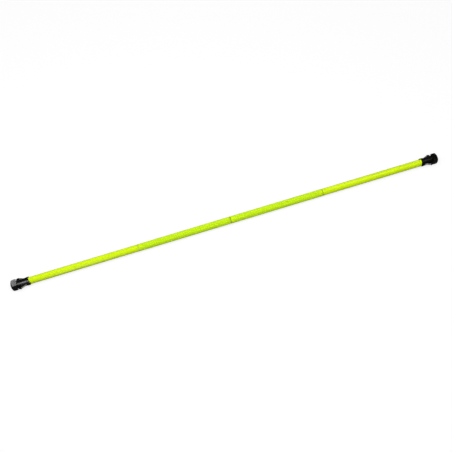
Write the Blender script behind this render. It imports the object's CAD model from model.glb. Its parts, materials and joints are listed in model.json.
# The looks of a sectional probe pole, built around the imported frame.
# Objects are in metres in the frame's own axes. Outlines are written in millimetres.
# Inside an end fitting, u is the distance from the pole's outer end, inwards.

import json
import math

import bmesh
import bpy
import numpy as np
from mathutils import Matrix, Vector

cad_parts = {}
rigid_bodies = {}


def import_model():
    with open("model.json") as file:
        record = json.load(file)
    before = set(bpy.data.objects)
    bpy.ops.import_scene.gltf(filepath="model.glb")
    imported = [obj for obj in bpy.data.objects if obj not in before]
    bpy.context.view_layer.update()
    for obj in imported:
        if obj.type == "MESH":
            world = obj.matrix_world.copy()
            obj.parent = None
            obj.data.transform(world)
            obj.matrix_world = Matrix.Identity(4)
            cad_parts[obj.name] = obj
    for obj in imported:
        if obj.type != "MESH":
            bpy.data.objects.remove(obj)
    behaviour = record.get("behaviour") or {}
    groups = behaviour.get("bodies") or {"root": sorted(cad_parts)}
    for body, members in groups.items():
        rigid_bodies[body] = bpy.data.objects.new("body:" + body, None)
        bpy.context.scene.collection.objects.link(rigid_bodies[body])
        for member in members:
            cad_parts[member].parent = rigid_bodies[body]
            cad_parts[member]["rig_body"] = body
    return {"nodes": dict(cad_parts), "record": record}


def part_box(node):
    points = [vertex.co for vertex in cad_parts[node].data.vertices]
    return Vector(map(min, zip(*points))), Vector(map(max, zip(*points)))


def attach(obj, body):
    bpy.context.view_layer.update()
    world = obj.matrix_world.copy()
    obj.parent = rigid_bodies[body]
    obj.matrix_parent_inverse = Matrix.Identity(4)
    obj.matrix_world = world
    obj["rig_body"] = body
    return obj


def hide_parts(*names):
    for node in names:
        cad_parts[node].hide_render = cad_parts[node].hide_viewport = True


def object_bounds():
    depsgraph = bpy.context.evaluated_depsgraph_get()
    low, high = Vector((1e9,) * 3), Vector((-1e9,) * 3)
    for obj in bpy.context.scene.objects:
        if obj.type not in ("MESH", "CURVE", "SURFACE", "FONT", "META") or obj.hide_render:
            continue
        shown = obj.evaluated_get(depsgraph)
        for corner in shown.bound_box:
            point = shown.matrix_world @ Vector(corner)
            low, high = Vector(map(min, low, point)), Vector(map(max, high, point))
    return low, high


MM = 0.001
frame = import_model()
cad_lo, cad_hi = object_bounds()
NODES = frame["nodes"]
BODY = {name: obj["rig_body"] for name, obj in NODES.items()}
SLOT = {row["node"]: row["material_slot"] for row in frame["record"]["subparts"]}

scene = bpy.context.scene
scene.view_settings.view_transform = "Standard"
scene.view_settings.look = "None"


def ends(node):
    """The CAD node's ends along X, and its largest radius, in mm."""
    lo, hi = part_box(node)
    return lo.x / MM, hi.x / MM, max(hi.y, hi.z, -lo.y, -lo.z) / MM


# ---------------------------------------------------------------- materials

class Mat:
    """A small helper round one node tree with a Principled shader."""

    def __init__(self, name):
        self.m = bpy.data.materials.new(name)
        self.m.use_nodes = True
        self.nt = self.m.node_tree
        self.bsdf = self.nt.nodes["Principled BSDF"]
        self.coords = self.nt.nodes.new("ShaderNodeTexCoord").outputs["Object"]

    def node(self, kind, inputs=None, **props):
        n = self.nt.nodes.new(kind)
        for key, value in props.items():
            setattr(n, key, value)
        for key, value in (inputs or {}).items():
            self.wire(value, n.inputs[key])
        return n

    def wire(self, value, socket):
        if isinstance(value, bpy.types.NodeSocket):
            self.nt.links.new(value, socket)
        else:
            socket.default_value = value

    def set(self, **values):
        for key, value in values.items():
            self.wire(value, self.bsdf.inputs[key.replace("_", " ")])

    def math(self, op, a, b=0.0, clamp=False):
        return self.node("ShaderNodeMath", {0: a, 1: b}, operation=op, use_clamp=clamp).outputs[0]

    def scaled(self, vector, scale):
        n = self.node("ShaderNodeMapping", {"Vector": vector})
        n.inputs["Scale"].default_value = scale
        return n.outputs[0]

    def noise(self, scale, detail=4.0, rough=0.55, vector=None, distortion=0.0):
        return self.node(
            "ShaderNodeTexNoise",
            {"Vector": vector or self.coords, "Scale": scale, "Detail": detail, "Roughness": rough, "Distortion": distortion},
        ).outputs[0]

    def ramp(self, fac, stops):
        n = self.node("ShaderNodeValToRGB", {0: fac})
        e = n.color_ramp.elements
        while len(e) < len(stops):
            e.new(0.5)
        for item, (pos, value) in zip(e, stops):
            item.position = pos
            item.color = (value, value, value, 1) if isinstance(value, (int, float)) else (*value, 1)
        return n.outputs[0]

    def mix(self, fac, a, b, blend="MIX"):
        n = self.nt.nodes.new("ShaderNodeMix")
        n.data_type = "RGBA"
        n.blend_type = blend
        for socket, value in ((n.inputs[0], fac), (n.inputs[6], a), (n.inputs[7], b)):
            if isinstance(value, tuple) and len(value) == 3:
                value = (*value, 1)
            self.wire(value, socket)
        return n.outputs[2]

    def bump(self, height, strength, distance, below=None):
        n = self.node("ShaderNodeBump", {"Height": height, "Strength": strength, "Distance": distance})
        if below is not None:
            self.nt.links.new(below, n.inputs["Normal"])
        return n.outputs[0]

    def attribute(self, name):
        return self.node("ShaderNodeAttribute", attribute_name=name).outputs["Fac"]


def lacquer(name, lit, shade, rough=0.3, dull=0.0):
    """Fluorescent lacquer on aluminium: it glows where it faces the eye and turns olive at its edges."""
    t = Mat(name)
    facing = t.node("ShaderNodeLayerWeight", {"Blend": 0.35}).outputs["Facing"]
    base = t.mix(t.ramp(facing, [(0.25, 0.0), (0.95, 1.0)]), lit, shade)
    cloud = t.ramp(t.noise(9.0, 3.0), [(0.35, 0.0), (0.7, 1.0)])
    base = t.mix(t.math("MULTIPLY", cloud, 0.10 + dull), base, tuple(0.86 * c for c in lit))
    # fine scuffs run along the tube, where it slides in and out of a bag
    scuff = t.ramp(t.noise(1.0, 6.0, 0.7, t.scaled(t.coords, (14, 900, 900))), [(0.60, 0.0), (0.74, 1.0)])
    base = t.mix(t.math("MULTIPLY", scuff, 0.22), base, (min(1.0, 0.92 * lit[0] + 0.05), 0.95 * lit[1], 0.02))
    dust = t.ramp(t.noise(2400.0, 2.0), [(0.66, 0.0), (0.74, 1.0)])
    base = t.mix(t.math("MULTIPLY", dust, 0.12), base, (0.45, 0.52, 0.02))
    # grime gathers where two sections meet
    x = t.node("ShaderNodeSeparateXYZ", {0: t.coords}).outputs[0]
    for joint, strength in JOINTS:
        away = t.math("ABSOLUTE", t.math("SUBTRACT", x, joint))
        away = t.math("ADD", away, t.math("MULTIPLY", t.math("SUBTRACT", t.noise(330.0, 3.0), 0.5), 0.0016))
        near = t.ramp(t.math("MULTIPLY", away, 200.0), [(0.16, 1.0), (0.46, 0.0)])
        base = t.mix(t.math("MULTIPLY", near, strength), base, (0.16, 0.22, 0.0))
    peel = t.noise(520.0, 2.0)
    fine = t.bump(scuff, 0.12, 0.00004, t.bump(peel, 0.10, 0.00012))
    t.set(
        Base_Color=base,
        Roughness=t.math("ADD", rough, t.math("MULTIPLY", scuff, 0.16)),
        Normal=fine,
    )
    t.bsdf.inputs["Specular IOR Level"].default_value = 0.12
    t.bsdf.inputs["Emission Color"].default_value = (*lit, 1)
    t.bsdf.inputs["Emission Strength"].default_value = 0.06
    return t.m


def braid_cloth(name):
    """The braided sleeve: bright on top of each strand, darker and greener between strands, with a pale fuzz."""
    t = Mat(name)
    height = t.attribute("height")
    across = t.attribute("across")
    low = t.ramp(height, [(0.0, (0.12, 0.22, 0.0)), (0.36, (0.40, 0.70, 0.0)), (0.70, (0.54, 0.88, 0.0)), (1.0, (0.60, 0.94, 0.0))])
    high = t.ramp(height, [(0.0, (0.16, 0.30, 0.0)), (0.36, (0.60, 0.88, 0.0)), (0.70, (0.74, 0.98, 0.01)), (1.0, (0.80, 1.0, 0.05))])
    tone = t.mix(t.attribute("way"), low, high)
    blotch = t.ramp(t.noise(150.0, 5.0, 0.65), [(0.32, 0.0), (0.68, 1.0)])
    tone = t.mix(t.math("MULTIPLY", blotch, 0.22), tone, (0.46, 0.80, 0.0))
    pale = t.ramp(t.noise(230.0, 4.0, 0.6, distortion=0.6), [(0.60, 0.0), (0.78, 1.0)])
    tone = t.mix(t.math("MULTIPLY", pale, 0.45), tone, (0.88, 1.0, 0.18))
    # the hem next to the middle joint is soiled by handling
    x = t.node("ShaderNodeSeparateXYZ", {0: t.coords}).outputs[0]
    hem = t.math("ABSOLUTE", t.math("SUBTRACT", x, JOINTS[1][0]))
    hem = t.math("ADD", hem, t.math("MULTIPLY", t.math("SUBTRACT", t.noise(300.0, 3.0), 0.5), 0.002))
    tone = t.mix(t.ramp(t.math("MULTIPLY", hem, 200.0), [(0.30, 0.65), (0.72, 0.0)]), tone, (0.17, 0.24, 0.0))
    yarn = t.math("SINE", t.math("MULTIPLY", across, 2 * math.pi * 6))
    yarn01 = t.math("MULTIPLY_ADD", yarn, 0.5)
    yarn01.node.inputs[2].default_value = 0.5
    tone = t.mix(t.math("MULTIPLY", t.math("SUBTRACT", 1.0, yarn01), 0.10), tone, (0.30, 0.52, 0.0))
    fibre = t.noise(3200.0, 3.0, 0.7)
    normal = t.bump(yarn01, 0.55, 0.00018, t.bump(fibre, 0.5, 0.00012, t.bump(t.noise(700.0, 4.0), 0.25, 0.00025)))
    t.set(Base_Color=tone, Roughness=t.ramp(fibre, [(0.2, 0.55), (0.8, 0.85)]), Normal=normal)
    b = t.bsdf.inputs
    b["Specular IOR Level"].default_value = 0.10
    b["Sheen Weight"].default_value = 0.16
    b["Sheen Roughness"].default_value = 0.35
    b["Sheen Tint"].default_value = (0.93, 1.0, 0.80, 1)
    b["Emission Color"].default_value = (0.60, 0.96, 0.0, 1)
    b["Emission Strength"].default_value = 0.12
    return t.m


def moulded(name, base, rough, texture, gloss=0.06):
    """Black moulded plastic: fine spark-eroded grain, polished patches and greyed, rubbed edges."""
    t = Mat(name)
    edge = t.attribute("edge")
    grain = t.noise(1500.0, 4.0, 0.6)
    patch = t.ramp(t.noise(60.0, 4.0), [(0.35, 0.0), (0.68, 1.0)])
    rub = t.math("MULTIPLY", edge, t.ramp(t.noise(900.0, 5.0, 0.7), [(0.36, 0.0), (0.70, 1.0)]))
    tone = t.mix(t.math("MULTIPLY", patch, 0.5), base, tuple(1.8 * c for c in base))
    tone = t.mix(t.math("MULTIPLY", rub, 0.35), tone, (0.022, 0.022, 0.020))
    nick = t.ramp(t.noise(1.0, 5.0, 0.7, t.scaled(t.coords, (260, 2100, 2100))), [(0.64, 0.0), (0.74, 1.0)])
    tone = t.mix(t.math("MULTIPLY", nick, 0.20), tone, (0.012, 0.012, 0.011))
    normal = t.bump(nick, 0.15, 0.00005, t.bump(grain, texture, 0.00010))
    t.set(
        Base_Color=tone,
        Roughness=t.math("ADD", t.math("ADD", rough, t.math("MULTIPLY", patch, 0.08)), t.math("MULTIPLY", rub, 0.12)),
        Normal=normal,
    )
    t.bsdf.inputs["Specular IOR Level"].default_value = gloss
    return t.m


def metal(name, base, rough, stretch, tint=(1.0, 1.0, 1.0)):
    """Brushed metal; stretch gives the brush marks' scale along each axis."""
    t = Mat(name)
    brush = t.noise(1.0, 5.0, 0.7, t.scaled(t.coords, stretch))
    blot = t.ramp(t.noise(110.0, 4.0), [(0.35, 0.0), (0.7, 1.0)])
    tone = t.mix(t.ramp(brush, [(0.3, 0.0), (0.7, 1.0)]), tuple(0.80 * c for c in base), base)
    tone = t.mix(t.math("MULTIPLY", blot, 0.25), tone, tuple(0.8 * c * k for c, k in zip(base, tint)))
    t.set(
        Base_Color=tone,
        Metallic=1.0,
        Roughness=t.math("ADD", rough, t.math("MULTIPLY", brush, 0.18)),
        Normal=t.bump(brush, 0.22, 0.00003),
    )
    return t.m


def rubber(name):
    t = Mat(name)
    skin = t.noise(1900.0, 4.0)
    bloom = t.ramp(t.noise(300.0, 4.0), [(0.5, 0.0), (0.75, 1.0)])
    t.set(
        Base_Color=t.mix(t.math("MULTIPLY", bloom, 0.5), (0.012, 0.012, 0.013), (0.05, 0.05, 0.05)),
        Roughness=t.math("ADD", 0.48, t.math("MULTIPLY", bloom, 0.25)),
        Normal=t.bump(skin, 0.3, 0.00006),
    )
    return t.m


def nylon(name):
    t = Mat(name)
    cloud = t.noise(140.0, 4.0)
    tone = t.mix(t.ramp(cloud, [(0.35, 0.0), (0.7, 1.0)]), (0.70, 0.68, 0.60), (0.80, 0.79, 0.73))
    rings = t.math("SINE", t.math("MULTIPLY", t.node("ShaderNodeSeparateXYZ", {0: t.coords}).outputs[0], 2 * math.pi * 2600))
    t.set(Base_Color=tone, Roughness=t.math("ADD", 0.38, t.math("MULTIPLY", cloud, 0.15)), Normal=t.bump(rings, 0.12, 0.00004))
    t.bsdf.inputs["Subsurface Weight"].default_value = 0.15
    t.bsdf.inputs["Subsurface Radius"].default_value = (0.002, 0.002, 0.0015)
    return t.m


def coated_cable(name):
    """Black plastic coat over twisted wires, whose lay shows through as slanting ridges."""
    t = Mat(name)
    xyz = t.node("ShaderNodeSeparateXYZ", {0: t.coords}).outputs
    turn = t.math("ARCTAN2", xyz[2], xyz[1])
    lay = t.math("SINE", t.math("ADD", t.math("MULTIPLY", turn, 6.0), t.math("MULTIPLY", xyz[0], 2 * math.pi * 6 / 0.018)))
    lay01 = t.math("MULTIPLY_ADD", lay, 0.5)
    lay01.node.inputs[2].default_value = 0.5
    scuff = t.ramp(t.noise(400.0, 5.0, 0.7), [(0.55, 0.0), (0.75, 1.0)])
    tone = t.mix(t.math("MULTIPLY", lay01, 0.5), (0.014, 0.014, 0.015), (0.035, 0.035, 0.036))
    t.set(
        Base_Color=t.mix(t.math("MULTIPLY", scuff, 0.4), tone, (0.09, 0.09, 0.088)),
        Roughness=t.math("ADD", 0.34, t.math("MULTIPLY", scuff, 0.25)),
        Normal=t.bump(lay01, 0.7, 0.0003, t.bump(t.noise(2500.0, 3.0), 0.2, 0.00005)),
    )
    return t.m


JOINTS = [
    (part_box("left_joint_ring")[0].x, 0.32),
    (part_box("middle_joint_ring")[0].x - 0.0004, 0.70),
    (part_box("right_joint_ring")[1].x - 0.0006, 0.65),
]

MATERIALS = {
    "tube_lacquer": lacquer("tube_lacquer_finish", (0.735, 1.0, 0.0), (0.36, 0.43, 0.0)),
    "ring_lacquer": lacquer("ring_lacquer_finish", (0.71, 1.0, 0.0), (0.30, 0.40, 0.0), 0.34),
    "sleeve_knit": braid_cloth("sleeve_braid_finish"),
    "black_plastic": moulded("black_plastic_finish", (0.0020, 0.0020, 0.0017), 0.20, 0.10),
    "pad_plastic": moulded("pad_plastic_finish", (0.0030, 0.0030, 0.0028), 0.36, 0.22),
    "stainless_steel": metal("stainless_steel_finish", (0.66, 0.66, 0.64), 0.22, (60, 2600, 2600), (1.0, 0.97, 0.92)),
    "blackened_steel": metal("blackened_steel_finish", (0.035, 0.035, 0.036), 0.36, (900, 900, 900), (1.1, 1.0, 0.9)),
    "ferrule_aluminium": metal("ferrule_aluminium_finish", (0.78, 0.79, 0.80), 0.26, (2200, 130, 130)),
    "cable_coating": coated_cable("cable_coating_finish"),
    "o_ring_rubber": rubber("o_ring_rubber_finish"),
    "guide_nylon": nylon("guide_nylon_finish"),
}

# ---------------------------------------------------------------- mesh tools


def rounded(points, radius, steps=4):
    """A closed outline with its corners rounded. radius is one number, or one for each corner."""
    pts = [np.array(p, float) for p in points]
    radii = list(radius) if isinstance(radius, (list, tuple)) else [radius] * len(pts)
    out = []
    for i, b in enumerate(pts):
        u, v = pts[i - 1] - b, pts[(i + 1) % len(pts)] - b
        lu, lv = np.linalg.norm(u), np.linalg.norm(v)
        if lu < 1e-9 or lv < 1e-9:
            continue
        u, v = u / lu, v / lv
        angle = math.acos(float(np.clip(u @ v, -1, 1)))
        if radii[i] <= 0 or angle > math.pi - 0.03:
            out.append(tuple(b))
            continue
        cut = min(radii[i] / math.tan(angle / 2), 0.45 * lu, 0.45 * lv)
        r = cut * math.tan(angle / 2)
        centre = b + (u + v) / np.linalg.norm(u + v) * (r / math.sin(angle / 2))
        p, q = b + u * cut - centre, b + v * cut - centre
        psi = math.pi - angle
        for k in range(steps + 1):
            s = k / steps
            w = (math.sin((1 - s) * psi) * p + math.sin(s * psi) * q) / math.sin(psi)
            out.append(tuple(centre + w))
    return out


def outward(bm):
    if bm.calc_volume(signed=True) < 0:
        bmesh.ops.reverse_faces(bm, faces=bm.faces[:])


def to_mesh(bm, name):
    outward(bm)
    mesh = bpy.data.meshes.new(name)
    bm.to_mesh(mesh)
    bm.free()
    return mesh


def lathe(name, profile, steps=96):
    """A mesh turned about X from a closed (x, r) outline in mm; a point with r = 0 is a pole."""
    verts, rings = [], []
    for x, r in profile:
        if r < 1e-6:
            rings.append([len(verts)] * steps)
            verts.append((x, 0.0, 0.0))
        else:
            rings.append(list(range(len(verts), len(verts) + steps)))
            verts.extend((x, r * math.cos(2 * math.pi * k / steps), r * math.sin(2 * math.pi * k / steps)) for k in range(steps))
    faces = []
    for i in range(len(rings)):
        a, b = rings[i], rings[(i + 1) % len(rings)]
        if a[0] == a[1] and b[0] == b[1]:
            continue
        for k in range(steps):
            n = (k + 1) % steps
            if a[0] == a[1]:
                faces.append((a[0], b[n], b[k]))
            elif b[0] == b[1]:
                faces.append((a[k], a[n], b[0]))
            else:
                faces.append((a[k], a[n], b[n], b[k]))
    mesh = bpy.data.meshes.new(name)
    mesh.from_pydata(verts, [], faces)
    bm = bmesh.new()
    bm.from_mesh(mesh)
    outward(bm)
    bm.to_mesh(mesh)
    bm.free()
    return mesh


def tube(name, x0, x1, r_in, r_out, outer=0.4, inner=0.25, steps=96, left=None, right=None):
    """A tube's wall; left and right are the rounding of its outer edge at each end."""
    a = outer if left is None else left
    b = outer if right is None else right
    return lathe(name, rounded([(x0, r_in), (x0, r_out), (x1, r_out), (x1, r_in)], [inner, a, b, inner]), steps)


def bar(p, q, r, steps=48, name="bar"):
    p, q = Vector(p), Vector(q)
    bm = bmesh.new()
    turn = (q - p).to_track_quat("Z", "Y").to_matrix().to_4x4()
    bmesh.ops.create_cone(
        bm, cap_ends=True, segments=steps, radius1=r, radius2=r, depth=(q - p).length,
        matrix=Matrix.Translation((p + q) / 2) @ turn,
    )
    return to_mesh(bm, name)


def block(lo, hi, edge=0.0, segments=4):
    lo, hi = Vector(lo), Vector(hi)
    bm = bmesh.new()
    bmesh.ops.create_cube(bm, size=1.0, matrix=Matrix.Translation((lo + hi) / 2) @ Matrix.Diagonal((*(hi - lo), 1)))
    if edge:
        bmesh.ops.bevel(bm, geom=bm.edges[:], offset=edge, segments=segments, affect="EDGES", profile=0.5)
    return to_mesh(bm, "block")


def extruded(name, outline, half, edge=0.0, holes=()):
    """A flat outline in X and Y, in mm, with thickness 2 * half along Z and softened edges."""
    bm = bmesh.new()
    base = [bm.verts.new((x, y, -half)) for x, y in outline]
    face = bm.faces.new(base)
    bmesh.ops.recalc_face_normals(bm, faces=[face])
    top = bmesh.ops.extrude_face_region(bm, geom=[face])
    bmesh.ops.translate(bm, verts=[v for v in top["geom"] if isinstance(v, bmesh.types.BMVert)], vec=(0, 0, 2 * half))
    bmesh.ops.recalc_face_normals(bm, faces=bm.faces[:])
    if edge:
        rims = [e for e in bm.edges if abs(abs(e.verts[0].co.z) - half) < 1e-6 and abs(e.verts[0].co.z - e.verts[1].co.z) < 1e-6]
        bmesh.ops.bevel(bm, geom=rims, offset=edge, segments=3, affect="EDGES", profile=0.5, clamp_overlap=True)
    mesh = to_mesh(bm, name)
    return carve(mesh, [bar((x, y, -half - 1), (x, y, half + 1), r, 64) for x, y, r in holes]) if holes else mesh


def carve(mesh, tools, operation="DIFFERENCE"):
    """mesh less each of the tools, or joined to it, as one new mesh."""
    work = bpy.data.objects.new("work", mesh)
    scene.collection.objects.link(work)
    others = []
    for tool in tools:
        other = bpy.data.objects.new("tool", tool)
        scene.collection.objects.link(other)
        m = work.modifiers.new("cut", "BOOLEAN")
        m.operation, m.solver, m.object = operation, "EXACT", other
        others.append(other)
    bpy.context.view_layer.update()
    done = bpy.data.meshes.new_from_object(work.evaluated_get(bpy.context.evaluated_depsgraph_get()))
    for obj in [work, *others]:
        bpy.data.objects.remove(obj)
    return done


def mark_edges(mesh, reach):
    """Writes the attribute that the plastics read as rubbed edges: 1 on a sharp turn, fading over reach, in mm."""
    bm = bmesh.new()
    bm.from_mesh(mesh)
    sharp = np.zeros(len(bm.verts))
    for v in bm.verts:
        turns = [e.calc_face_angle(0.0) / max(e.calc_length(), 0.15) for e in v.link_edges if len(e.link_faces) == 2]
        sharp[v.index] = max(turns, default=0.0)
    bm.free()
    value = np.clip((sharp - 0.10) / 0.35, 0, 1).astype(np.float32)
    layer = mesh.attributes.new("edge", "FLOAT", "POINT")
    layer.data.foreach_set("value", value)


def put(name, mesh, nodes, at=None, angle=35.0, edges=False):
    """Shows mesh, in mm, in place of the CAD nodes, on their body and with their finish."""
    if edges:
        mark_edges(mesh, 1.0)
    mesh.transform((at or Matrix.Identity(4)) @ Matrix.Diagonal((MM, MM, MM, 1)))
    mesh.materials.clear()
    mesh.materials.append(MATERIALS[SLOT[nodes[0]]])
    mesh.shade_smooth()
    mesh.set_sharp_from_angle(angle=math.radians(angle))
    obj = bpy.data.objects.new(name, mesh)
    scene.collection.objects.link(obj)
    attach(obj, BODY[nodes[0]])
    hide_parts(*nodes)
    return obj


# ---------------------------------------------------------------- tubes, rings and what joins them

HALF = cad_hi.x / MM
TUBE_BORE = 11.2


def screw_hole(mesh, u, sign):
    x = sign * (HALF - u)
    return carve(mesh, [bar((x, 0, -20), (x, 0, 20), 1.5, 32)])


SCREW_U = HALF - abs(ends("tip_collar_screw_top")[0] + ends("tip_collar_screw_top")[1]) / 2
for node, sign in (("section_1_tube", -1), ("section_2_tube", 0), ("section_3_tube", 0), ("section_4_tube", 1)):
    x0, x1, r = ends(node)
    joint = 1.3                       # the edge that meets a joint ring is turned down more
    mesh = tube(
        node + "_turned", x0, x1, TUBE_BORE, r,
        left=joint if sign == 1 else 0.3, right=joint if sign == -1 else 0.3, steps=128,
    )
    if sign:
        mesh = screw_hole(mesh, SCREW_U, sign)
    put(node + "_lacquered", mesh, [node])

for node in ("left_joint_ring", "middle_joint_ring", "right_joint_ring"):
    x0, x1, r = ends(node)
    r_in = 12.3
    gap_left = node != "right_joint_ring"      # the side that meets the joint
    a, b = (x0, x1) if gap_left else (x1, x0)
    d = 1 if b > a else -1
    outline = [
        (a, r_in), (a, r - 0.65), (a + d * 1.3, r - 0.03), (a + d * 2.4, r), (a + d * 2.8, r - 0.28), (a + d * 3.4, r - 0.28),
        (a + d * 3.8, r), (b - d * 3.0, r), (b - d * 2.6, r - 0.28), (b - d * 2.1, r - 0.28), (b - d * 1.7, r),
        (b - d * 0.5, r - 0.02), (b, r - 0.5), (b, r_in),
    ]
    put(node + "_turned", lathe(node + "_turned", rounded(outline, 0.18, 2), 128), [node])

for side in ("left", "middle", "right"):
    node = side + "_ferrule"
    x0, x1, r = ends(node)
    x = x0 + 34.0
    outline = rounded([
        (x0, 8.8), (x0, r), (x - 22, r), (x - 21.6, r - 0.35), (x - 20.4, r - 0.35), (x - 20, r),
        (x - 12, r), (x - 11.6, r - 0.35), (x - 10.4, r - 0.35), (x - 10, r),
        (x + 7.0, r), (x + 7.0, 9.6), (x + 9.0, 9.6), (x + 9.0, r),
        (x1 - 4.0, r), (x1, 8.4), (x1, 2.4), (x1 - 2.2, 2.4), (x1 - 5.0, 8.8),
    ], 0.3, 3)
    put(node + "_turned", lathe(node + "_turned", outline, 96), [node])
    cx = x + 8.0
    ring = [(cx + 0.62 * math.cos(2 * math.pi * i / 16), 10.43 + 0.62 * math.sin(2 * math.pi * i / 16)) for i in range(16)]
    put(side + "_o_ring_moulded", lathe(side + "_o_ring_moulded", ring, 96), [side + "_o_ring"])


# ---------------------------------------------------------------- braided grip sleeves

def braided(name, x0, x1, r_in, r_out, strands, pitch, lift):
    """A tubular braid: strands run both ways round the tube and pass over and under each other.

    The outer surface is a grid whose radius follows the strands. Its last millimetres are pressed flat, where the ends are sealed.
    """
    nx, nt = int((x1 - x0) / 0.8) + 1, 132
    xs = np.linspace(x0, x1, nx)
    th = np.arange(nt) * 2 * np.pi / nt
    X, T = np.meshgrid(xs, th, indexing="ij")
    # the braid isn't perfectly even: the strands drift a little along the tube
    drift = 0.10 * np.sin(X * 0.071 + 2 * T) + 0.07 * np.sin(X * 0.163 - 3 * T + 1.3) + 0.05 * np.sin(X * 0.39 + T + 0.4)
    a = T * strands / (2 * np.pi) + X / pitch + drift
    b = T * strands / (2 * np.pi) - X / pitch - drift
    fa, fb = a - np.floor(a), b - np.floor(b)
    hump = lambda f: np.sqrt(np.clip(1 - (2 * f - 1) ** 2, 0, 1)) ** 0.9
    sa = np.where(np.floor(a) % 2 == 0, 1.0, -1.0)
    sb = np.where(np.floor(b) % 2 == 0, 1.0, -1.0)
    ha = 0.55 * hump(fa) + 0.45 * sa * np.sin(np.pi * b) * hump(fa)
    hb = 0.55 * hump(fb) - 0.45 * sb * np.sin(np.pi * a) * hump(fb)
    top = ha >= hb
    h = np.clip(np.maximum(ha, hb), 0, 1)
    across = np.where(top, fa, fb)
    # each strand is a bundle of yarns
    h = h + 0.05 * np.cos(2 * np.pi * 4 * across) * (h > 0.3)
    slack = 0.5 + 0.5 * np.sin(X * 0.052 + 3.1 * np.sin(X * 0.017) + T * 2)
    end = np.clip(np.minimum(X - x0, x1 - X) / 2.6, 0, 1)
    end = end * end * (3 - 2 * end)
    R = r_out + lift * ((h - 0.45) * end) + 0.12 * (slack - 0.5) * end - 0.10 * (1 - end)
    height = (h * end + 0.55 * (1 - end)).astype(np.float32)

    outer = np.stack([X, R * np.cos(T), R * np.sin(T)], -1).reshape(-1, 3)
    inner_x = np.array([x1, x0])
    IX, IT = np.meshgrid(inner_x, th, indexing="ij")
    inner = np.stack([IX, r_in * np.cos(IT), r_in * np.sin(IT)], -1).reshape(-1, 3)
    co = np.concatenate([outer, inner])
    rings = nx + 2
    i, k = np.meshgrid(np.arange(rings), np.arange(nt), indexing="ij")
    j, n = (i + 1) % rings, (k + 1) % nt
    quads = np.stack([i * nt + k, j * nt + k, j * nt + n, i * nt + n], -1).reshape(-1, 4)
    mesh = bpy.data.meshes.new(name)
    mesh.vertices.add(len(co))
    mesh.vertices.foreach_set("co", co.astype(np.float32).ravel())
    mesh.loops.add(quads.size)
    mesh.loops.foreach_set("vertex_index", quads.astype(np.int32).ravel())
    mesh.polygons.add(len(quads))
    mesh.polygons.foreach_set("loop_start", np.arange(0, quads.size, 4, dtype=np.int32))
    mesh.update(calc_edges=True)
    bm = bmesh.new()
    bm.from_mesh(mesh)
    outward(bm)
    bm.to_mesh(mesh)
    bm.free()
    pad = np.full(2 * nt, 0.3, np.float32)
    for key, values in (("height", height.ravel()), ("across", across.astype(np.float32).ravel()), ("way", top.astype(np.float32).ravel())):
        layer = mesh.attributes.new(key, "FLOAT", "POINT")
        layer.data.foreach_set("value", np.concatenate([values, pad]))
    return mesh


for node in ("left_grip_sleeve", "right_grip_sleeve"):
    x0, x1, r = ends(node)
    put(node + "_braided", braided(node + "_braided", x0, x1, 12.3, r, 10, 8.2, 0.75), [node], angle=60)

# ---------------------------------------------------------------- end fittings

HEAD_LEN, HEAD_HALF, DOME_R, SOFT = 22.4, 15.0, 34.0, 2.8
ROD_HOLE = 4.3
PIN_U, PIN_Y = 15.0, 4.2


def head_mesh(name):
    """A square head with every edge rounded, crowned at its outer end. It is solved along rays from a point inside."""
    rows, cols = 130, 176
    polar = np.linspace(0, np.pi, rows + 1)[1:-1]
    turn = np.arange(cols) * 2 * np.pi / cols
    P, A = np.meshgrid(polar, turn, indexing="ij")
    d = np.stack([-np.cos(P), np.sin(P) * np.cos(A), np.sin(P) * np.sin(A)], -1).reshape(-1, 3)
    d = np.concatenate([[[-1.0, 0, 0]], d, [[1.0, 0, 0]]])
    origin = np.array([13.0, 0, 0])

    def outside(p):
        g = np.stack([
            np.abs(p[:, 1]) - HEAD_HALF, np.abs(p[:, 2]) - HEAD_HALF,
            np.linalg.norm(p - [DOME_R, 0, 0], axis=1) - DOME_R,
        ], 1)
        sides = np.linalg.norm(np.maximum(g + SOFT, 0), axis=1) - SOFT
        # the edge next to the collar is only just broken
        pair = np.stack([sides, p[:, 0] - HEAD_LEN], 1) + 0.8
        return np.linalg.norm(np.maximum(pair, 0), axis=1) - 0.8

    lo, hi = np.zeros(len(d)), np.full(len(d), 40.0)
    for _ in range(40):
        mid = (lo + hi) / 2
        inside = outside(origin + d * mid[:, None]) < 0
        lo, hi = np.where(inside, mid, lo), np.where(inside, hi, mid)
    co = origin + d * lo[:, None]
    grid = np.arange(1, 1 + (rows - 1) * cols).reshape(rows - 1, cols)
    faces = []
    for k in range(cols):
        n = (k + 1) % cols
        faces.append((0, int(grid[0, k]), int(grid[0, n])))
        faces.append((len(co) - 1, int(grid[-1, n]), int(grid[-1, k])))
        for i in range(rows - 2):
            faces.append((int(grid[i, k]), int(grid[i + 1, k]), int(grid[i + 1, n]), int(grid[i, n])))
    mesh = bpy.data.meshes.new(name)
    mesh.from_pydata([tuple(c) for c in co], [], faces)
    bm = bmesh.new()
    bm.from_mesh(mesh)
    outward(bm)
    bm.to_mesh(mesh)
    bm.free()
    return carve(mesh, [
        bar((3.6, 0, 0), (30, 0, 0), ROD_HOLE, 64),
        lathe("recess", rounded([(-5, 0), (-5, 7.3), (2.2, 7.3), (2.2, 0)], [0, 0, 0.4, 0]), 96),
        bar((PIN_U, PIN_Y, -20), (PIN_U, PIN_Y, 20), 1.5, 40),
        # a shallow counterbore at each mouth of the cross pin's hole
        bar((PIN_U, PIN_Y, 14.7), (PIN_U, PIN_Y, 20), 2.1, 40),
        bar((PIN_U, PIN_Y, -20), (PIN_U, PIN_Y, -14.7), 2.1, 40),
    ])


COLLAR_R, FLANGE_R, TUBE_R = 14.1, 14.95, 12.5


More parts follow.
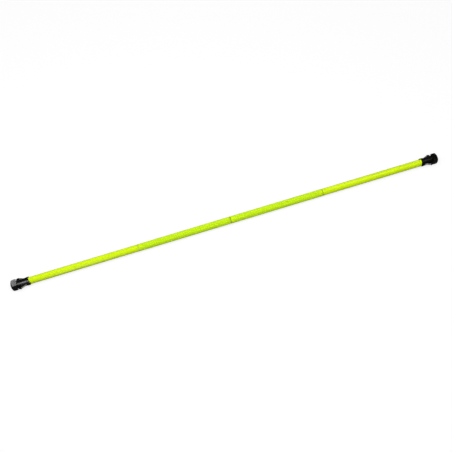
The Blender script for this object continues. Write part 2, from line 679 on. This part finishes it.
def collar_mesh(name):
    """The collar: a neck with a slot right through for the latches, a thicker band, and a mouth with an ear on each latch side."""
    outline = rounded([
        (22.9, ROD_HOLE), (22.9, COLLAR_R), (56.6, COLLAR_R), (57.8, FLANGE_R),
        (68.4, FLANGE_R), (68.4, TUBE_R + 0.3), (57.0, TUBE_R + 0.3), (57.0, 10.9),
        (86.0, 10.9), (86.0, ROD_HOLE),
    ], [0.3, 0.8, 0.8, 0.8, 0.8, 0.2, 0.2, 0.2, 0.9, 0.4], 5)
    body = lathe(name, outline, 144)
    deep = 4.4
    mouth_r = (deep * deep + FLANGE_R * FLANGE_R) / (2 * deep)
    mouth_u = 64.0 + mouth_r
    mouth = carve(
        bar((mouth_u, 0, -20), (mouth_u, 0, 20), mouth_r, 128),
        [bar((57.05, 0, 0), (mouth_u + mouth_r + 5, 0, 0), TUBE_R + 0.15, 96)],
    )
    tools = [mouth, block((25.4, -20, -7.4), (36.4, 20, 7.4), 1.0)]
    for s in (1, -1):
        lo, hi = sorted((s * 9.0, s * 22))
        tools.append(block((33.0, lo, -4.1), (55.0, hi, 4.1), 0.9))
        tools.append(bar((52.3, s * 11.0, -6.6), (52.3, s * 11.0, 6.6), 1.1, 24))
        tools.append(bar((SCREW_U, 0, s * 9.3), (SCREW_U, 0, s * 20), 1.5, 32))
    return carve(body, tools)


def pad_outline(root0, root1):
    """The thumb pad from the side: a ribbed ramp that rises to a barb over the leaf's end, and a root in the slot."""
    leaf_y = 19.6
    top = leaf_y + 1.7
    p, q = np.array([23.4, 17.9]), np.array([30.9, top - 0.4])
    along = (q - p) / np.linalg.norm(q - p)
    out = np.array([-along[1], along[0]])
    ramp = [(25.8, 16.4), (23.7, 16.4), (23.4, 16.7), (23.4, 17.6), (23.55, 17.96)]
    for k in range(4):
        at = 1.3 + k * 1.75
        for step, rise in ((-0.55, 0.0), (-0.28, 0.38), (0.22, 0.38), (0.45, 0.0)):
            ramp.append(tuple(p + along * (at + step) + out * rise))
    ramp += [tuple(q), (31.8, top), (33.6, top), (33.9, top - 0.4)]
    leaf_slot = [(33.9, leaf_y + 0.6), (31.3, leaf_y + 0.6), (31.3, leaf_y - 0.6), (33.9, leaf_y - 0.6)]
    lip = leaf_y - 1.7
    under = [(33.8, lip + 0.3), (33.0, lip)]
    tail = [(root1, lip - (33.0 - root1) * 0.66), (root1, 9.9), (root0, 9.9)]
    if root0 > 25.9:
        tail.append((root0, lip - (33.0 - root0) * 0.66))
    return ramp + leaf_slot + under + tail


def leaf_outline():
    """The leaf spring from the side: a flat end held in the pad, a long slope, and an eye rolled round the hinge pin."""
    pivot_u, pivot_y, leaf_y, thick = 52.3, 11.0, 19.6, 0.6
    eye = 0.8 + 0.3 + thick / 2
    p1, p2 = (31.7, leaf_y), (34.6, leaf_y)
    dx, dy = pivot_u - p2[0], pivot_y - p2[1]
    dist = math.hypot(dx, dy)
    direction = math.atan2(dy, dx) + math.asin(eye / dist)
    start = direction + math.pi / 2
    bend = [(p2[0] + t, p2[1] - 0.55 * (t / 1.2) ** 2 * 0.35) for t in (0.0, 0.4, 0.8)]
    line = [p1, *bend]
    turns = 40
    for i in range(turns + 1):
        a = start - math.radians(310) * i / turns
        line.append((pivot_u + eye * math.cos(a), pivot_y + eye * math.sin(a)))
    h = thick / 2
    left, right = [], []
    for i, p in enumerate(line):
        before, after = line[max(i - 1, 0)], line[min(i + 1, len(line) - 1)]
        d1, d2 = Vector((p[0] - before[0], p[1] - before[1])), Vector((after[0] - p[0], after[1] - p[1]))
        d1 = d1.normalized() if d1.length else d2.normalized()
        d2 = d2.normalized() if d2.length else d1
        d = (d1 + d2).normalized()
        k = h / max(d.dot(d1), 0.5)
        left.append((p[0] - d.y * k, p[1] + d.x * k))
        right.append((p[0] + d.y * k, p[1] - d.x * k))
    return left + right[::-1]


def plate_outline():
    far, near, w = -6.4, 9.5, 6.6
    return rounded([(far, -w), (near - 3.5, -w), (near, -3.6), (near, 3.6), (near - 3.5, w), (far, w)], [1.4, 0.6, 0.4, 0.4, 0.6, 1.4], 4)


def pin_mesh(name, p, q, r, soft, steps=40):
    """A pin from p to q with rounded ends."""
    p, q = Vector(p), Vector(q)
    n = (q - p).length
    mesh = lathe(name, rounded([(0, 0), (0, r), (n, r), (n, 0)], [0, soft, soft, 0], 4), steps)
    turn = (q - p).to_track_quat("X", "Z").to_matrix().to_4x4()
    mesh.transform(Matrix.Translation(p) @ turn)
    return mesh


def screw_mesh(name, s):
    """A set screw with a hexagon socket."""
    body = pin_mesh(name, (SCREW_U, 0, s * 9.7), (SCREW_U, 0, s * 14.7), 1.2, 0.25, 48)
    return carve(body, [bar((SCREW_U, 0, s * 13.2), (SCREW_U, 0, s * 16), 0.72, 6)])


for prefix, at, near_first in (
    ("tip", Matrix.Translation((-HALF * MM, 0, 0)), True),
    ("handle", Matrix.Translation((HALF * MM, 0, 0)) @ Matrix.Rotation(math.pi, 4, "Z"), True),
):
    put(f"{prefix}_head_moulded", head_mesh(f"{prefix}_head_moulded"), [f"{prefix}_head"], at, 30, edges=True)
    put(f"{prefix}_collar_moulded", collar_mesh(f"{prefix}_collar_moulded"), [f"{prefix}_collar"], at, 30, edges=True)
    put(f"{prefix}_rod_pin_turned", pin_mesh("pin", (PIN_U, PIN_Y, -13.8), (PIN_U, PIN_Y, 13.8), 1.2, 0.3), [f"{prefix}_rod_pin"], at)
    disc = rounded([(0, 0), (0, 3.2), (0.35, 3.5), (0.35, 4.1), (0.05, 4.4), (0.05, 4.9), (0.9, 6.9), (1.9, 6.9), (1.9, 0)],
                   [0, 0.15, 0.1, 0.1, 0.15, 0.5, 0.5, 0.3, 0], 3)
    disc_node = "tip_wear_disc" if prefix == "tip" else "handle_end_disc"
    put(disc_node + "_turned", lathe(disc_node + "_turned", disc, 96), [disc_node], at, edges=prefix == "handle")
    for z, where in ((1, "top"), (-1, "bottom")):
        put(f"{prefix}_collar_screw_{where}_hex", screw_mesh("screw", z), [f"{prefix}_collar_screw_{where}"], at)
    for side in ("near", "far"):
        # the near latch is at -Y in the world, which a turned fitting sees at +Y
        s = (-1 if side == "near" else 1) * (1 if prefix == "tip" else -1)
        first = side == "near"
        root0, root1 = (25.8, 28.2) if first else (28.8, 31.2)
        flip = Matrix.Identity(4) if s > 0 else Matrix.Rotation(math.pi, 4, "X")
        pad = extruded("pad", pad_outline(root0, root1), 4.5, 0.32)
        put(f"{prefix}_thumb_pad_{side}_moulded", pad, [f"{prefix}_thumb_pad_{side}"], at @ flip, 30, edges=True)
        leaf = extruded("leaf", leaf_outline(), 3.6, 0.12)
        put(f"{prefix}_leaf_spring_{side}_bent", leaf, [f"{prefix}_leaf_spring_{side}"], at @ flip, 30)
        plate = extruded("plate", plate_outline(), 0.5, 0.12, [(0.9, 0.0, ROD_HOLE + 0.9)])
        stand = Matrix(((0, 0, 1, (root0 + root1) / 2), (1, 0, 0, 0), (0, 1, 0, 0), (0, 0, 0, 1)))
        plate.transform(stand)
        put(f"{prefix}_lock_plate_{side}_stamped", plate, [f"{prefix}_lock_plate_{side}"], at @ flip, 30)
        put(
            f"{prefix}_hinge_pin_{side}_turned",
            pin_mesh("hinge", (52.3, s * 11.0, -6.2), (52.3, s * 11.0, 6.2), 0.8, 0.2, 32),
            [f"{prefix}_hinge_pin_{side}"], at,
        )

TIP = Matrix.Translation((-HALF * MM, 0, 0))
HANDLE = Matrix.Translation((HALF * MM, 0, 0)) @ Matrix.Rotation(math.pi, 4, "Z")
for node, at, u0, u1, bore in (("tip_rod", TIP, 9.6, 52.0, 1.9), ("handle_rod", HANDLE, 8.0, 396.0, 3.2)):
    mesh = tube(node, u0, u1, bore, 4.0, 0.5, 0.3, 72)
    mesh = carve(mesh, [bar((PIN_U, PIN_Y, -8), (PIN_U, PIN_Y, 8), 1.5, 40)])
    put(node + "_turned", mesh, [node], at)
put("rod_mouth_bush_turned", tube("bush", 388.0, 395.5, 1.9, 2.9, 0.3, 0.3, 48), ["rod_mouth_bush"], HANDLE)
put("rod_guide_turned", tube("guide", 256.0, 264.0, 4.3, 10.7, 0.9, 0.4, 96), ["rod_guide"], HANDLE)


def stop_outline(u0, u1, r):
    """A swaged stop with two pressed waists."""
    w = (u1 - u0) / 5
    return rounded([
        (u0, 0), (u0, r), (u0 + w, r), (u0 + 1.3 * w, r - 0.35), (u0 + 1.9 * w, r - 0.35), (u0 + 2.2 * w, r),
        (u0 + 2.8 * w, r), (u0 + 3.1 * w, r - 0.35), (u0 + 3.7 * w, r - 0.35), (u0 + 4 * w, r), (u1, r), (u1, 0),
    ], [0, 0.5, 0.2, 0.2, 0.2, 0.2, 0.2, 0.2, 0.2, 0.2, 0.5, 0], 3)


put("tip_cable_stop_swaged", lathe("stop", stop_outline(4.4, 8.6, 3.0), 64), ["tip_cable_stop"], TIP)
put("handle_cable_stop_swaged", lathe("stop", stop_outline(24.0, 31.0, 2.8), 64), ["handle_cable_stop"], HANDLE)
x0, x1, r = ends("tension_cable")
put("tension_cable_coated", lathe("cable", rounded([(x0, 0), (x0, 1.5), (x1, 1.5), (x1, 0)], [0, 0.3, 0.3, 0], 3), 48), ["tension_cable"])

# ---------------------------------------------------------------- floor, light and camera

world = bpy.data.worlds.new("studio")
scene.world = world
world.use_nodes = True
nt = world.node_tree
back = nt.nodes["Background"]
path = nt.nodes.new("ShaderNodeLightPath")


def by_ray(tree, light_path, camera, diffuse, glossy):
    """One value for rays from the camera, one for mirror-like rays, and one for the rest."""
    first = tree.nodes.new("ShaderNodeMix")
    first.data_type = "FLOAT"
    first.inputs[2].default_value, first.inputs[3].default_value = diffuse, glossy
    tree.links.new(light_path.outputs["Is Glossy Ray"], first.inputs[0])
    second = tree.nodes.new("ShaderNodeMix")
    second.data_type = "FLOAT"
    tree.links.new(light_path.outputs["Is Camera Ray"], second.inputs[0])
    tree.links.new(first.outputs[0], second.inputs[2])
    second.inputs[3].default_value = camera
    return second.outputs[0]


back.inputs["Color"].default_value = (1, 1, 1, 1)
nt.links.new(by_ray(nt, path, 1.05, 0.34, 0.28), back.inputs["Strength"])

floor_mesh = bpy.data.meshes.new("floor")
bm = bmesh.new()
bmesh.ops.create_grid(bm, x_segments=1, y_segments=1, size=30.0)
bm.to_mesh(floor_mesh)
bm.free()
floor = bpy.data.objects.new("floor", floor_mesh)
floor.location.z = cad_lo.z - 0.0003
scene.collection.objects.link(floor)
paint = bpy.data.materials.new("floor_paint")
paint.use_nodes = True
ft = paint.node_tree
fb = ft.nodes["Principled BSDF"]
fb.inputs["Base Color"].default_value = (0.25, 0.25, 0.25, 1)
fb.inputs["Roughness"].default_value = 0.9
fb.inputs["Specular IOR Level"].default_value = 0.0
fb.inputs["Emission Color"].default_value = (1, 1, 1, 1)
fpath = ft.nodes.new("ShaderNodeLightPath")
ft.links.new(by_ray(ft, fpath, 0.80, 0.0, 0.10), fb.inputs["Emission Strength"])
floor_mesh.materials.append(paint)


def softbox(name, at, aim, size, radiance, diffuse=True, glossy=True):
    """A soft area light with the given brightness, aimed at a point. Sizes in metres."""
    light = bpy.data.lights.new(name, "AREA")
    light.shape = "RECTANGLE"
    light.size, light.size_y = size
    light.energy = radiance * math.pi * size[0] * size[1]
    obj = bpy.data.objects.new(name, light)
    obj.location = at
    obj.rotation_mode = "QUATERNION"
    obj.rotation_quaternion = (Vector(aim) - Vector(at)).to_track_quat("-Z", "Y")
    obj.visible_camera = False
    obj.visible_diffuse = diffuse
    obj.visible_glossy = glossy
    scene.collection.objects.link(obj)
    return obj


def only(light, *names):
    """Lets the light fall on the named pieces alone."""
    group = bpy.data.collections.new(light.name + "_lit")
    for name in names:
        group.objects.link(bpy.data.objects[name])
    light.light_linking.receiver_collection = group
    return light


CAM = Vector((-0.65860, -2.24429, 3.56199))
FOCAL = 1200.0
AIM_X, AIM_YZ, ROLL = 0.15, math.radians(58.0), -0.0580187


def mirror_spot(point, angle, distance):
    """Where a light has to stand for a long round surface at point to show it, when its normal is at angle degrees above -Y."""
    p = Vector(point)
    v = (CAM - p).normalized()
    a = math.radians(angle)
    n = Vector((0, -math.cos(a), math.sin(a)))
    return p + (2 * n.dot(v) * n - v) * distance


# one broad key from above gives the form, and softboxes that only draw reflections give the streaks
softbox("key", (-0.2, -0.30, 2.4), (0, 0, 0), (3.4, 1.6), 2.75, glossy=False)
spot = mirror_spot((-0.55, 0, 0), 37, 1.9)
softbox("left_strip", spot, (-0.55, 0, 0), (0.54, 1.1), 11.0, diffuse=False)
spot = mirror_spot((0.56, 0, 0), 70, 1.9)
softbox("right_strip", spot, (0.56, 0, 0), (0.60, 1.2), 9.0, diffuse=False)
spot = mirror_spot((-0.757, 0, 0), 61, 1.9)
only(softbox("collar_strip", spot, (-0.757, 0, 0), (0.5, 1.30), 75.0, diffuse=False), "tip_collar_moulded")
spot = mirror_spot((-0.789, 0, 0.015), 90, 1.2)
only(softbox("head_card", spot - Vector((0.5, 0, 0)), (-0.789, 0, 0.015), (1.3, 0.60), 70.0, diffuse=False), "tip_head_moulded")

cam_data = bpy.data.cameras.new("camera")
cam_data.sensor_width = 36.0
cam_data.lens = FOCAL / 452.0 * 36.0
cam_data.clip_start, cam_data.clip_end = 0.05, 100.0
cam = bpy.data.objects.new("camera", cam_data)
scene.collection.objects.link(cam)
k = math.sqrt(1 - AIM_X * AIM_X)
aim = Vector((AIM_X, k * math.cos(AIM_YZ), -k * math.sin(AIM_YZ)))
level = aim.cross(Vector((0, 0, 1))).normalized()
upright = level.cross(aim)
right = level * math.cos(ROLL) + upright * math.sin(ROLL)
up = right.cross(aim)
cam.matrix_world = Matrix.Translation(CAM) @ Matrix((right, up, -aim)).transposed().to_4x4()
scene.camera = cam
